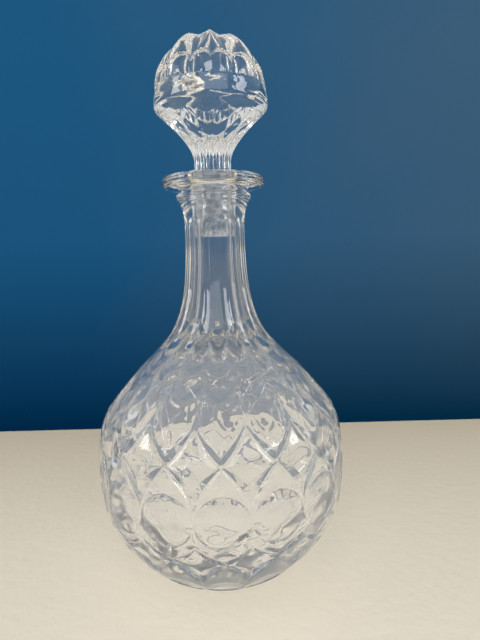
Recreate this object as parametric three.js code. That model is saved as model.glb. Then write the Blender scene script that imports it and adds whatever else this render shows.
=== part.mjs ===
// Glass carafe with a cut stopper. Millimetres, +Z up, origin at the middle of the foot.
// Each glass solid is a stack of rings about the Z axis, joined ring to ring into one closed skin.
import * as THREE from "three";

// Globe of the bottle: an egg cut flat a little above its lowest point
const GLOBE_RADIUS = 64;
const GLOBE_CENTRE_Z = 57.7;
const GLOBE_BELOW_FOOT = 3.3;
const GLOBE_UPPER = 52;
const LOWER_ROUNDNESS = 1.9;
const UPPER_ROUNDNESS = 3.38;
const FOOT_EDGE = 1.2;
const FOOT_ROUND = 1.8;
const FOOT_RING = 4.3;
const FOOT_RECESS_DEPTH = 1.2;

// Shoulder, neck and lip of the bottle, from the globe's centre up and from the lip down
const SHOULDER_RISE = 37.8;
const NECK_RADIUS = 15.2;
const BOTTLE_HEIGHT = 208.8;
const LIP_RADIUS = 25.7;
const LIP_THICKNESS = 5.5;
const LIP_EDGE_ROUND = 2.4;
const LIP_GROOVE = 2.4;
const GROOVE_RADIUS = 16.9;
const LIP_ROOT_RADIUS = 18;
const BEAD_RADIUS = 18.8;
const BEAD_HALF_HEIGHT = 1.9;
const COLLAR_RADIUS = 17.2;
const COLLAR_DROP = 3;
const WAIST_DROP = 14;

// Inside of the bottle
const GLOBE_WALL = 5.6;
const BASE_THICKNESS = 9;
const BORE_RADIUS = 10;
const BORE_LENGTH = 33.8;
const MOUTH_RADIUS = 10.7;
const MOUTH_ROUND = 1;

// Pattern cut into the globe: columns, and heights of its rows from where the arcs touch
const COLUMNS = 16;
const TOUCH_DROP = 1.65;
const TOUCH_HEIGHT = 15.7;
const LOWER_ROW = 10;
const FOOT_ROW = 12.2;
const UPPER_ROW = 19.2;
const TIP_ROW = 14.5;
const ARCH_ROW = 14.4;
const MITRE_HALF_WIDTH = 2;
const MITRE_DEPTH = 1.5;

// Round hollows, called prints, on the middle of each column
const PRINT_GAP = 0.4;
const PRINT_DEPTH = 2.2;
const PRINT_DROP = 1.65;
const UPPER_PRINT_RISE = 4;
const UPPER_PRINT_DEPTH = 2.1;
const UPPER_PRINT_STRETCH = 1.42;
const FOOT_PRINT_DROP = 8;
const FOOT_PRINT_DEPTH = 1.2;

// Flutes of the neck
const FLUTE_DEPTH = 0.45;
const PLAIN_BAND = 11;
const FLUTE_FOOT_SCALLOP = 7;
const FLUTE_FOOT_RUN = 5;
const FLUTE_HEAD_DROP = 7;
const FLUTE_HEAD_SCALLOP = 3;
const FLUTE_HEAD_RUN = 2;

// Stopper, with its heights stacked from the lip up
const PETALS = 8;
const STOPPER_TURN_DEG = 3;
const STEM_HEIGHT = 7.2;
const CONE_HEIGHT = 23;
const GIRDLE_SHOULDER = 3.4;
const BAND_HEIGHT = 7.6;
const PETAL_SIDE = 6;
const STAR_HEIGHT = 16.7;
const GIRDLE_RADIUS = 28;
const GIRDLE_OVERHANG = 1.8;
const CROWN_STEP = 0.7;
const TABLE_RADIUS = 13.2;
const PETAL_BULGE = 2.2;
const WINDOW_HEIGHT = 10.5;
const WINDOW_ARCH = 6;
const WINDOW_DEPTH = 1.4;
const WINDOW_RUN = 2.5;
const CONE_FLUTE_DEPTH = 1.5;
const CONE_FLUTE_DROP = 2;
const CONE_FLUTE_SCALLOP = 4;
const CONE_FLUTE_RUN = 1.5;
const STEM_FLUTE_DEPTH = 0.35;
const STEM_SHOULDER = 0.3;

// Plug and its sleeve
const PLUG_DEPTH = 29.6;
const SLEEVE_WALL = 0.8;
const SLEEVE_FLANGE = 1;
const FLANGE_OVERHANG = 2.2;
const SLEEVE_RIBS = 4;
const RIB_DEPTH = 0.5;
const RIB_WIDTH = 1.8;
const CLEARANCE = 0.3;

const FULL_TURN = 2 * Math.PI;
const QUARTER_TURN = Math.PI / 2;
const HALF_COLUMN = Math.PI / COLUMNS;
const HALF_PETAL = Math.PI / PETALS;
const SMALLEST_FACET = 0.2;

// Heights that follow from the sizes above
const shoulderZ = GLOBE_CENTRE_Z + SHOULDER_RISE;
const lowerTouchZ = GLOBE_CENTRE_Z - TOUCH_DROP - TOUCH_HEIGHT / 2;
const lowerCrossZ = lowerTouchZ - LOWER_ROW;
const footArcZ = lowerCrossZ - FOOT_ROW;
const upperTouchZ = lowerTouchZ + TOUCH_HEIGHT;
const upperCrossZ = upperTouchZ + UPPER_ROW;
const tipZ = upperCrossZ + TIP_ROW;
const archTopZ = tipZ + ARCH_ROW;
const fluteFootZ = archTopZ + PLAIN_BAND;
const lipUnderZ = BOTTLE_HEIGHT - LIP_THICKNESS;
const beadZ = lipUnderZ - LIP_GROOVE - BEAD_HALF_HEIGHT;
const collarZ = beadZ - COLLAR_DROP;
const fluteHeadZ = collarZ - FLUTE_HEAD_DROP;
const waistZ = collarZ - WAIST_DROP;
const seatZ = BOTTLE_HEIGHT - PLUG_DEPTH;
const boreFootZ = BOTTLE_HEIGHT - BORE_LENGTH;
const stemTopZ = BOTTLE_HEIGHT + STEM_HEIGHT;
const coneTopZ = stemTopZ + CONE_HEIGHT;
const girdleZ = coneTopZ + GIRDLE_SHOULDER;
const petalFootZ = girdleZ + BAND_HEIGHT;
const petalCornerZ = petalFootZ + PETAL_SIDE;
const tableZ = petalCornerZ + STAR_HEIGHT;
const coneFluteHeadZ = coneTopZ - CONE_FLUTE_DROP;
const coneScallopZ = coneFluteHeadZ - CONE_FLUTE_SCALLOP - CONE_FLUTE_DROP;

const clamp = THREE.MathUtils.clamp;
const lerp = THREE.MathUtils.lerp;

// How far z lies from one height to another, 0 to 1
const between = (z, from, to) => clamp((z - from) / (to - from), 0, 1);

// Heights from one level to the next in equal steps, without the last
const steps = (from, to, count) => Array.from({ length: count }, (_, i) => lerp(from, to, i / count));

// Radius of an egg-like body whose lower and upper halves differ in height and roundness
function eggRadius(z, radius, lower, upper) {
  const below = z < GLOBE_CENTRE_Z;
  const power = below ? LOWER_ROUNDNESS : UPPER_ROUNDNESS;
  const t = Math.min(Math.abs(z - GLOBE_CENTRE_Z) / (below ? lower : upper), 1);
  return radius * (1 - t ** power) ** (1 / power);
}

// Radius of a curve of (radius, height) points at a height
function radiusAt(curve, z) {
  let low = 0;
  let high = 1;
  for (let i = 0; i < 40; i++) {
    const middle = (low + high) / 2;
    if (curve.getPoint(middle).y < z) low = middle;
    else high = middle;
  }
  return curve.getPoint(low).x;
}

// Flare from a globe of a radius at a height up to a straight neck
function flareCurve(radius, z, neck, top) {
  const rise = top - z;
  return new THREE.CubicBezierCurve(
    new THREE.Vector2(radius, z),
    new THREE.Vector2(lerp(radius, neck, 0.657), z + 0.407 * rise),
    new THREE.Vector2(neck, z + 0.308 * rise),
    new THREE.Vector2(neck, top),
  );
}

// Outside of the bottle up to its collar, without cuts
const globeLower = GLOBE_CENTRE_Z + GLOBE_BELOW_FOOT;
const globeRadius = (z) => eggRadius(z, GLOBE_RADIUS, globeLower, GLOBE_UPPER);
const neckFlare = flareCurve(globeRadius(shoulderZ), shoulderZ, NECK_RADIUS, waistZ);

function bodyRadius(z) {
  if (z < shoulderZ) return globeRadius(z);
  if (z < waistZ) return radiusAt(neckFlare, z);
  return lerp(NECK_RADIUS, COLLAR_RADIUS, between(z, waistZ, collarZ) ** 3);
}

// Inside of the bottle from the base up: globe, flare, bore and the taper for the stopper
const hollowLower = GLOBE_CENTRE_Z - BASE_THICKNESS;
const hollowUpper = GLOBE_UPPER - GLOBE_WALL;
const hollowShoulderZ = shoulderZ - GLOBE_WALL / 2;
const hollowRadius = (z) => eggRadius(z, GLOBE_RADIUS - GLOBE_WALL, hollowLower, hollowUpper);
const hollowFlare = flareCurve(
  hollowRadius(hollowShoulderZ),
  hollowShoulderZ,
  BORE_RADIUS,
  boreFootZ,
);
const boreRadius = (z) => lerp(BORE_RADIUS, MOUTH_RADIUS, between(z, seatZ, BOTTLE_HEIGHT));
const insideRadius = (z) => (z < hollowShoulderZ ? hollowRadius(z) : radiusAt(hollowFlare, z));

// One ring of points. The angle runs from the front, -Y, towards +X.
function ring(angles, z, radiusOf) {
  return angles.map((angle) => {
    const r = radiusOf(angle);
    return new THREE.Vector3(r * Math.sin(angle), -r * Math.cos(angle), z);
  });
}

const evenAngles = (count) => Array.from({ length: count }, (_, i) => (i * FULL_TURN) / count);
const roundRing = (count, r, z) => ring(evenAngles(count), z, () => r);
const onAxis = (z) => new THREE.Vector3(0, 0, z);

// Angles round a full turn, from the shares of half a repeat that its first half holds
function mirroredAngles(repeats, shares) {
  const back = shares.slice(1, -1).reverse().map((share) => 2 - share);
  const oneRepeat = [...shares, ...back];
  const starts = evenAngles(repeats);
  return starts.flatMap((start) => oneRepeat.map((share) => start + (share * Math.PI) / repeats));
}

// Share of half a repeat at an angle: 0 on the middle of a repeat, 1 between two
function shareAt(angle, repeats) {
  const turn = (angle * repeats) / FULL_TURN;
  return 2 * Math.abs(turn - Math.round(turn));
}

// Joins rings of any number of points, from the lowest outer one on, into a closed skin
function skin(rings, firstPoint, lastPoint) {
  const positions = [];
  const face = (...corners) => corners.forEach((p) => positions.push(p.x, p.y, p.z));
  const join = (lower, upper) => {
    let i = 0;
    let j = 0;
    while (i < lower.length || j < upper.length) {
      const a = lower[i % lower.length];
      const b = upper[j % upper.length];
      const stepLower = (i + 1) / lower.length <= (j + 1) / upper.length;
      if (stepLower) {
        i += 1;
        face(a, lower[i % lower.length], b);
      } else {
        j += 1;
        face(a, upper[j % upper.length], b);
      }
    }
  };
  const first = rings[0];
  const last = rings[rings.length - 1];
  first.forEach((p, i) => face(first[(i + 1) % first.length], p, firstPoint));
  for (let k = 1; k < rings.length; k++) join(rings[k - 1], rings[k]);
  last.forEach((p, i) => face(p, last[(i + 1) % last.length], lastPoint));
  const geometry = new THREE.BufferGeometry();
  geometry.setAttribute("position", new THREE.Float32BufferAttribute(positions, 3));
  geometry.computeVertexNormals();
  return geometry;
}

// Where the mitre arc runs at a height: 0 on the middle of a column, 1 between two columns
function arcShare(z) {
  if (z < lowerCrossZ) return between(z, lowerCrossZ, footArcZ) ** 0.65;
  if (z < lowerTouchZ) return 1 - between(z, lowerTouchZ, lowerCrossZ) ** 1.6;
  if (z < upperTouchZ) return 1;
  if (z < upperCrossZ) return 1 - between(z, upperTouchZ, upperCrossZ) ** 1.5;
  if (z < tipZ) return between(z, upperCrossZ, tipZ) ** 0.8;
  return Math.sqrt(1 - between(z, tipZ, archTopZ) ** 2);
}

// Size of the mitre cut at a height, 0 to 1: it runs out to nothing where two columns touch
function arcSwell(z) {
  const bow = (from, to) => Math.sin(Math.PI * between(z, from, to)) ** 0.7;
  if (z < lowerTouchZ) return bow(footArcZ, lowerTouchZ);
  if (z < upperTouchZ) return 0;
  return bow(upperTouchZ, tipZ);
}

// A print fills its column, apart from a gap, at the height of its middle. The upper ones are ovals.
function makePrint(z, depth, stretch = 1) {
  return { z, depth, stretch, radius: bodyRadius(z) * HALF_COLUMN - PRINT_GAP };
}
const footPrint = makePrint(footArcZ - FOOT_PRINT_DROP, FOOT_PRINT_DEPTH);
const mainPrint = makePrint((lowerCrossZ + upperCrossZ) / 2 - PRINT_DROP, PRINT_DEPTH);
const upperPrint = makePrint(tipZ + UPPER_PRINT_RISE, UPPER_PRINT_DEPTH, UPPER_PRINT_STRETCH);
const prints = [footPrint, mainPrint, upperPrint];

// Distance up or down the body from the middle of a print, as on a round one
function alongBody(print, z) {
  return Math.hypot(z - print.z, bodyRadius(z) - bodyRadius(print.z)) / print.stretch;
}

function printDepth(z, side) {
  const depths = prints.map((print) => {
    const reach = Math.hypot(alongBody(print, z), side) / print.radius;
    return print.depth * (1 - reach * reach);
  });
  return Math.max(0, ...depths);
}

// Half the width of the print that a height crosses
function printHalfWidth(z) {
  const near = prints.find((print) => alongBody(print, z) < print.radius);
  return near ? Math.sqrt(near.radius ** 2 - alongBody(near, z) ** 2) : 0;
}

// One ring of the cut globe. Its points keep to the edges of the prints and of the mitre cuts.
function patternRing(z) {
  const r = bodyRadius(z);
  const halfWidth = r * HALF_COLUMN;
  const facet = SMALLEST_FACET / halfWidth;
  const cut = (MITRE_HALF_WIDTH * arcSwell(z)) / halfWidth;
  const arc = arcShare(z);
  const middle = clamp(arc, 3 * facet, 1 - 2 * facet);
  const inner = Math.max(middle - Math.max(cut, facet), 2 * facet);
  const outer = Math.min(middle + Math.max(cut, facet), 1 - facet);
  const edge = clamp(printHalfWidth(z) / halfWidth, 0.4 * inner, inner - facet);
  const angles = mirroredAngles(COLUMNS, [0, edge, inner, middle, outer, 1]);
  return ring(angles, z, (angle) => {
    const share = shareAt(angle, COLUMNS);
    const slope = cut > 0 ? clamp(1 - Math.abs(share - arc) / cut, 0, 1) : 0;
    return r - MITRE_DEPTH * arcSwell(z) * slope - printDepth(z, share * halfWidth);
  });
}

// Shallow flutes of the neck, with a scallop at the foot and at the head of each
function neckRing(z) {
  return ring(evenAngles(4 * COLUMNS), z, (angle) => {
    const share = shareAt(angle, COLUMNS);
    const foot = fluteFootZ + FLUTE_FOOT_SCALLOP * share ** 2;
    const head = fluteHeadZ - FLUTE_HEAD_SCALLOP * share ** 2;
    const run = between(z, foot, foot + FLUTE_FOOT_RUN) * between(z, head, head - FLUTE_HEAD_RUN);
    return bodyRadius(z) - FLUTE_DEPTH * (1 - share ** 2) * run;
  });
}

// Quarter circle of (radius, height) points about a centre
function quarterRound(r, z, size, start) {
  return [0, 1, 2].map((i) => {
    const angle = start + (i * QUARTER_TURN) / 2;
    return [r + size * Math.cos(angle), z + size * Math.sin(angle)];
  });
}

// Profile from the collar over the bead and the lip into the mouth
function lipProfile() {
  const core = BEAD_RADIUS - BEAD_HALF_HEIGHT;
  const outer = LIP_RADIUS - LIP_EDGE_ROUND;
  return [
    ...quarterRound(core, beadZ, BEAD_HALF_HEIGHT, -1.1),
    ...quarterRound(core, beadZ, BEAD_HALF_HEIGHT, 0).slice(1),
    [GROOVE_RADIUS, lipUnderZ - LIP_GROOVE / 2],
    [LIP_ROOT_RADIUS, lipUnderZ],
    ...quarterRound(outer, lipUnderZ + LIP_EDGE_ROUND, LIP_EDGE_ROUND, -QUARTER_TURN),
    ...quarterRound(outer, BOTTLE_HEIGHT - LIP_EDGE_ROUND, LIP_EDGE_ROUND, 0),
    [MOUTH_RADIUS + MOUTH_ROUND, BOTTLE_HEIGHT],
    [MOUTH_RADIUS, BOTTLE_HEIGHT - MOUTH_ROUND],
  ];
}

function bottleGeometry() {
  const coarse = 2 * COLUMNS;
  const footRadius = bodyRadius(FOOT_EDGE) - FOOT_ROUND;
  const recessRadius = footRadius - FOOT_RING;
  const patternFootZ = footPrint.z - footPrint.radius * 0.7;
  const rings = [
    roundRing(coarse, recessRadius - FOOT_RECESS_DEPTH, FOOT_RECESS_DEPTH),
    roundRing(coarse, recessRadius, 0),
    roundRing(coarse, footRadius, 0),
  ];
  const footLevels = steps(FOOT_EDGE, patternFootZ, 2);
  const patternLevels = [
    ...steps(patternFootZ, footArcZ, 3),
    ...steps(footArcZ, lowerCrossZ, 3),
    ...steps(lowerCrossZ, lowerTouchZ, 3),
    ...steps(lowerTouchZ, upperTouchZ, 2),
    ...steps(upperTouchZ, upperCrossZ, 4),
    ...steps(upperCrossZ, tipZ, 3),
    ...steps(tipZ, archTopZ, 3),
    archTopZ,
  ];
  const neckLevels = [
    ...steps(fluteFootZ, fluteFootZ + 2 * FLUTE_FOOT_SCALLOP, 3),
    ...steps(fluteFootZ + 2 * FLUTE_FOOT_SCALLOP, waistZ, 4),
    waistZ,
    fluteHeadZ - FLUTE_HEAD_SCALLOP,
    fluteHeadZ,
    collarZ,
  ];
  footLevels.forEach((z) => rings.push(roundRing(4 * COLUMNS, bodyRadius(z), z)));
  patternLevels.forEach((z) => rings.push(patternRing(z)));
  neckLevels.forEach((z) => rings.push(neckRing(z)));
  lipProfile().forEach(([r, z]) => rings.push(roundRing(coarse, r, z)));
  rings.push(roundRing(coarse, BORE_RADIUS, seatZ));
  const insideLevels = [
    ...steps(boreFootZ, hollowShoulderZ, 6),
    ...steps(hollowShoulderZ, GLOBE_CENTRE_Z, 3),
    ...steps(0, 1, 5).map((t) => GLOBE_CENTRE_Z - hollowLower * Math.sin(t * QUARTER_TURN)),
  ];
  insideLevels.forEach((z) => rings.push(roundRing(coarse, insideRadius(z), z)));
  return skin(rings, onAxis(FOOT_RECESS_DEPTH), onAxis(BASE_THICKNESS));
}

// Crown of the stopper: a dome with a petal on each side of the table, flat stars between the
// petals, and arched windows under them
const crownFoot = GIRDLE_RADIUS - CROWN_STEP;
const crownHeight = (tableZ - petalFootZ) / Math.sqrt(1 - (TABLE_RADIUS / crownFoot) ** 2);
const crownRadius = (z) => crownFoot * Math.sqrt(1 - ((z - petalFootZ) / crownHeight) ** 2);

// Depth of the arched windows under the petals, two to each, with a rib at either side
function windowDepth(z, angle) {
  const across = 1 - shareAt(angle, 2 * PETALS);
  const top = petalFootZ + WINDOW_HEIGHT - WINDOW_ARCH * (1 - Math.sqrt(1 - across ** 2));
  return WINDOW_DEPTH * (1 - across ** 2) * between(z, top, top - WINDOW_RUN);
}

function crownRing(z) {
  const dome = crownRadius(z);
  const down = between(z, tableZ, petalCornerZ);
  const edge = lerp(0.08, 0.94, down);
  const bulge = PETAL_BULGE * Math.sqrt(down);
  const starDistance = (dome - bulge) * Math.cos((1 - edge) * HALF_PETAL);
  const windows = z < petalFootZ + WINDOW_HEIGHT;
  const shares = windows ? [0, 0.25, 0.5, 0.75, edge, 1] : [0, edge / 2, edge, 1];
  return ring(mirroredAngles(PETALS, shares), z, (angle) => {
    const share = shareAt(angle, PETALS);
    const cut = windowDepth(z, angle);
    if (share > edge + 1e-6) return starDistance / Math.cos((1 - share) * HALF_PETAL) - cut;
    return dome - bulge * (share / edge) ** 2 - cut;
  });
}

// Sleeve and plug follow the taper of the bore
const sleeveRadius = (z) => boreRadius(z) - CLEARANCE - RIB_DEPTH;
const sleeveBore = (z) => sleeveRadius(z) - SLEEVE_WALL;
const plugRadius = (z) => sleeveBore(z) - CLEARANCE;
const flangeFootZ = BOTTLE_HEIGHT + CLEARANCE;
const flangeTopZ = flangeFootZ + SLEEVE_FLANGE;
const stemFootZ = flangeTopZ + CLEARANCE;
const stemRadius = plugRadius(BOTTLE_HEIGHT) + STEM_SHOULDER;

// Cone of the stopper under its girdle, with a flute under each window
const coneTopRadius = GIRDLE_RADIUS - GIRDLE_OVERHANG;
const coneCurve = new THREE.CubicBezierCurve(
  new THREE.Vector2(stemRadius, stemTopZ),
  new THREE.Vector2(stemRadius, lerp(stemTopZ, coneTopZ, 0.3)),
  new THREE.Vector2(lerp(stemRadius, coneTopRadius, 0.54), lerp(stemTopZ, coneTopZ, 0.7)),
  new THREE.Vector2(coneTopRadius, coneTopZ),
);

function coneRing(z) {
  return ring(evenAngles(8 * PETALS), z, (angle) => {
    const bow = 1 - (1 - shareAt(angle, 2 * PETALS)) ** 2;
    const depth = lerp(STEM_FLUTE_DEPTH, CONE_FLUTE_DEPTH, between(z, stemTopZ, coneFluteHeadZ));
    const head = coneFluteHeadZ - CONE_FLUTE_SCALLOP * (1 - bow);
    const r = z < stemTopZ ? stemRadius : radiusAt(coneCurve, z);
    return r - depth * bow * between(z, head, head - CONE_FLUTE_RUN);
  });
}

function stopperGeometry() {
  const coarse = 4 * PETALS;
  const rings = [
    roundRing(coarse, plugRadius(seatZ) - 1, seatZ + 0.4),
    roundRing(coarse, plugRadius(seatZ), seatZ + 1.2),
    roundRing(coarse, plugRadius(BOTTLE_HEIGHT), BOTTLE_HEIGHT),
    roundRing(coarse, plugRadius(BOTTLE_HEIGHT), stemFootZ),
    coneRing(stemFootZ + CLEARANCE),
  ];
  const coneLevels = [
    ...steps(stemTopZ, coneScallopZ, 5),
    ...steps(coneScallopZ, coneTopZ, 4),
    coneTopZ,
  ];
  coneLevels.forEach((z) => rings.push(coneRing(z)));
  const around = 6 * PETALS;
  rings.push(roundRing(around, GIRDLE_RADIUS - 0.5, lerp(coneTopZ, girdleZ, 0.6)));
  rings.push(roundRing(around, GIRDLE_RADIUS, girdleZ));
  rings.push(roundRing(around, GIRDLE_RADIUS - 0.1, lerp(girdleZ, petalFootZ, 0.5)));
  rings.push(roundRing(around, crownFoot, petalFootZ - CLEARANCE));
  const dome = Math.asin((tableZ - petalFootZ) / crownHeight);
  const domeLevels = steps(0, dome, 8).map((angle) => petalFootZ + crownHeight * Math.sin(angle));
  [...domeLevels, tableZ].forEach((z) => rings.push(crownRing(z)));
  return skin(rings, onAxis(seatZ + 0.4), onAxis(tableZ));
}

// Sleeve: a thin tapered tube with sealing ribs, whose flange rests on the lip
function sleeveGeometry() {
  const pitch = PLUG_DEPTH / (SLEEVE_RIBS + 1);
  const ribs = steps(seatZ, BOTTLE_HEIGHT, SLEEVE_RIBS + 1).slice(1);
  const profile = [
    [sleeveBore(seatZ), seatZ],
    [sleeveRadius(seatZ), seatZ],
    ...ribs.flatMap((z) => [
      [sleeveRadius(z - RIB_WIDTH / 2), z - RIB_WIDTH / 2],
      [boreRadius(z) - CLEARANCE, z],
      [sleeveRadius(z + RIB_WIDTH / 2), z + RIB_WIDTH / 2],
    ]),
    [sleeveRadius(BOTTLE_HEIGHT - pitch / 4), BOTTLE_HEIGHT - pitch / 4],
    [sleeveRadius(BOTTLE_HEIGHT), flangeFootZ],
    [MOUTH_RADIUS + FLANGE_OVERHANG, flangeFootZ],
    [MOUTH_RADIUS + FLANGE_OVERHANG, flangeTopZ],
    [sleeveBore(BOTTLE_HEIGHT), flangeTopZ],
    [sleeveBore(seatZ), seatZ],
  ].map(([r, z]) => new THREE.Vector2(r, z));
  return new THREE.LatheGeometry(profile, 28).rotateX(QUARTER_TURN);
}

function piece(name, geometry, material) {
  const mesh = new THREE.Mesh(geometry, material);
  mesh.name = name;
  return mesh;
}

const clearGlass = new THREE.MeshStandardMaterial({
  color: 0xe4e9ea,
  roughness: 0.05,
  metalness: 0,
  transparent: true,
  opacity: 0.35,
});
const clearPlastic = new THREE.MeshStandardMaterial({ color: 0xe9ebe6, roughness: 0.3, metalness: 0 });

const stopperGroup = new THREE.Group();
stopperGroup.rotation.z = THREE.MathUtils.degToRad(STOPPER_TURN_DEG);
stopperGroup.add(piece("stopper", stopperGeometry(), clearGlass));
stopperGroup.add(piece("stopper_sleeve", sleeveGeometry(), clearPlastic));

const carafe = new THREE.Group();
carafe.add(piece("bottle", bottleGeometry(), clearGlass));
carafe.add(stopperGroup);

export default carafe;
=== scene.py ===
import math

import bpy
import numpy as np
from mathutils import Matrix, Vector


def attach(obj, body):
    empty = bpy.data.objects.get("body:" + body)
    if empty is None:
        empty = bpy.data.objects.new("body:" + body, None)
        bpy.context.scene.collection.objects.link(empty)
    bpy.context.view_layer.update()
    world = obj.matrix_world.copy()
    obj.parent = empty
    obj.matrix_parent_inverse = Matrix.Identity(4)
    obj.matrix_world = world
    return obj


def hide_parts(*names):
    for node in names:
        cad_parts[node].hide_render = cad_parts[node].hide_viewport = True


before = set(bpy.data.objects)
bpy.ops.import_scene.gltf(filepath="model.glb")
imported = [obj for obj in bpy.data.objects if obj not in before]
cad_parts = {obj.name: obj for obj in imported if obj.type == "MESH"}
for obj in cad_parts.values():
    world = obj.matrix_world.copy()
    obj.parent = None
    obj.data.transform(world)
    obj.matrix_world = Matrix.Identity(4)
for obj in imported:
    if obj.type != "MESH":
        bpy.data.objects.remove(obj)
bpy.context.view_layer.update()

bl_info = {
    "name": "Glass Carafe",
    "version": (1, 0, 0),
    "blender": (4, 5, 0),
    "location": "3D View > Sidebar > Carafe",
    "description": "Pressed glass carafe with a cut stopper, its glass and a plain stage",
    "category": "Object",
}

# The pieces' sizes are in millimetres until a mesh is made from them. What the finishes
# and the stage measure is in metres.
MM = 0.001
COLUMNS = 16
PETALS = 8
HALF_COLUMN = math.pi / COLUMNS
HALF_PETAL = math.pi / PETALS

# Heights of the globe and of the rows cut into it
RECESS = 1.2
GLOBE_CENTRE = 57.7
GLOBE_LOWER = 61.0
GLOBE_UPPER = 52.0
SHOULDER = 95.5
FOOT_ARC = 26.0
LOWER_CROSS = 38.2
LOWER_TOUCH = 48.2
UPPER_TOUCH = 63.9
UPPER_CROSS = 83.1
TIP = 97.6
ARCH_TOP = 112.0

# Roundness of the globe's halves: 2 makes a circle, and more is squarer
LOWER_ROUNDNESS = 1.9
UPPER_ROUNDNESS = 3.38

# How far a flare's curve is pulled in, and up at its foot and its head, as shares
FLARE_IN = 0.657
FLARE_UP_FOOT = 0.407
FLARE_UP_HEAD = 0.308

# Widths of the foot's rounded edge and flat ring, and (step out, height) round the ring
FOOT_EDGE = 1.8
FOOT_RING = 4.3
RECESS_RINGS = (4.0, 8.0)
RECESS_EDGE = ((-1.1, 1.1), (-0.4, 0.45), (0.0, 0.0))
RING_EDGE = ((0.0, 0.0), (0.7, 0.12), (1.3, 0.5), (FOOT_EDGE, RECESS))

# How the mitre arcs bend from row to row, as powers: 1 runs straight
FOOT_BEND = 0.65
LOWER_BEND = 1.6
UPPER_BEND = 1.5
TIP_BEND = 0.8

# How the mitre cuts swell and fade, as powers, and the share in which each opens
FOOT_SWELL = 0.7
UPPER_SWELL = 0.75
UPPER_FULLNESS = 0.85
LOWER_FADE = 0.6
LOWER_OPENING = 0.06
TIP_FADE = 0.55
TIP_OPENING = 0.05

# Width of a mitre cut's steep side, as a share of its broad side
MITRE_STEEP_SIDE = 0.22

# Half the widths over which pressed edges are rounded
PETAL_ROUND = 0.16
MITRE_ROUND = 0.28
PRINT_ROUND = 0.17

# Round prints: distances from their arcs, depths, the bare glass beside each, and the
# small step round each, where the mould's plug met the globe
FOOT_PRINT_DROP = 8.0
FOOT_PRINT_DEPTH = 1.2
MIDDLE_PRINT_DROP = 1.65
ARCH_PRINT_RISE = 4.0
ARCH_PRINT_DEPTH = 2.1
ARCH_PRINT_STRETCH = 1.42
PRINT_MARGIN = 0.4
PRINT_STEP = 0.4

# The pattern's mesh: its narrowest strip, its steps across half a column, and the
# usual and the least height between two rings
FACET = 0.12
PATTERN_STEPS = (7, 1, 3, 1, 1, 1, 1, 1, 3)
LEVEL_STEP = 0.65
LEAST_STEP = 0.25

# Heights of the neck and the lip
FLUTE_FOOT = 123.0
SCOOP_HEAD = 137.0
WAIST = 182.0
FLUTE_END = 184.0
FLUTE_HEAD = 189.0
BORE_MIDDLE = 194.0
COLLAR = 196.0
BEAD = 199.0
LIP_UNDER = 203.3
LIP_TOP = 208.8
SEAT = 179.2
BORE_FOOT = 175.0

# Radii of the neck and the lip, and (radius, height) of the crease over the bead
BORE = 10.0
MOUTH = 10.7
COLLAR_RADIUS = 17.2
BEAD_CENTRE = 16.9
BEAD_ROUND = 1.9
BEAD_START = -1.1
LIP_ROUND = 2.4
MOUTH_ROUND = 1.0
LIP_CREASE = ((16.95, 201.5), (16.9, 202.1), (17.1, 202.7), (18.0, LIP_UNDER))

# Neck flutes: how far their ends curve, the heights in which they start and stop, and
# how much deeper and how far up the scoop at their foot is
FLUTE_FOOT_CURVE = 5
FLUTE_HEAD_CURVE = 3
FLUTE_START = 2.5
FLUTE_STOP = 2
SCOOP = 0.7
SCOOP_HEIGHT = 30

# Waves on the inside of the globe: between which heights they come and go, the echo of
# the cut, slanted waves as (share, count, slant, start), and one wave that winds round
WAVES_COME = (6, 30)
WAVES_GO = (130, 106)
ECHO = 0.32
ECHO_START = 50
ECHO_PITCH = 42
SLANTED_WAVES = ((0.2, 23, 0.31, 0), (0.2, -19, 0.47, 1))
WINDING = 0.22
WINDING_RISE = 0.66
WINDING_SWAY = 1.2
WINDING_COUNT = 5

# Scallops above those waves
SCALLOPS_COME = (98, 106)
SCALLOPS_GO = (140, 128)
SCALLOPS = 0.7
SCALLOP_CURVE = 4
SCALLOP_PITCH = 9

# Heights of the stopper
PLUG_FOOT = 179.6
PLUG_EDGE = ((-1.0, PLUG_FOOT), (-0.35, 179.75), (0.0, 180.4))
PLUG_MIDDLE = 195.0
STEM_FOOT = 210.4
STEM_TOP = 216.0
CONE_MIDDLE = 231.0
CONE_FLUTE_HEAD = 237.0
CONE_TOP = 239.0
GIRDLE = 242.4
PETAL_FOOT = 250.0
PETAL_CORNER = 256.0
TABLE = 272.7

# Cone: how much wider its stem is than the plug, the corners of its curve as shares of
# its width and height, and its flutes' depth at the stem, curve and end
STEM_STEP = 0.3
CONE_IN = 0.54
CONE_UP_FOOT = 0.3
CONE_UP_HEAD = 0.7
STEM_FLUTE = 0.5
CONE_FLUTE_CURVE = 4
CONE_FLUTE_END = 1.5

# Girdle: its rounded foot, the taper of its band, and the band's swirls as (count, slant)
GIRDLE_ROUND = 1.8
BAND_TAPER = 0.7
BAND_TOP = PETAL_FOOT - 0.3
BAND_WAVE = 0.07
BAND_SWIRLS = ((3, 0.9), (7, -1.3), (11, 0.5))

# Crown: height, arch and edge of a window, a petal's share of its side at the table and
# at its corner, the height in which the notches fade, and steps across half a petal
WINDOW_HEIGHT = 10.5
WINDOW_ARCH = 6
WINDOW_EDGE = 0.9
PETAL_AT_TABLE = 0.08
PETAL_AT_CORNER = 0.94
NOTCH_HEIGHT = 9
PETAL_STEPS = (15, 1, 4)

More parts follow.
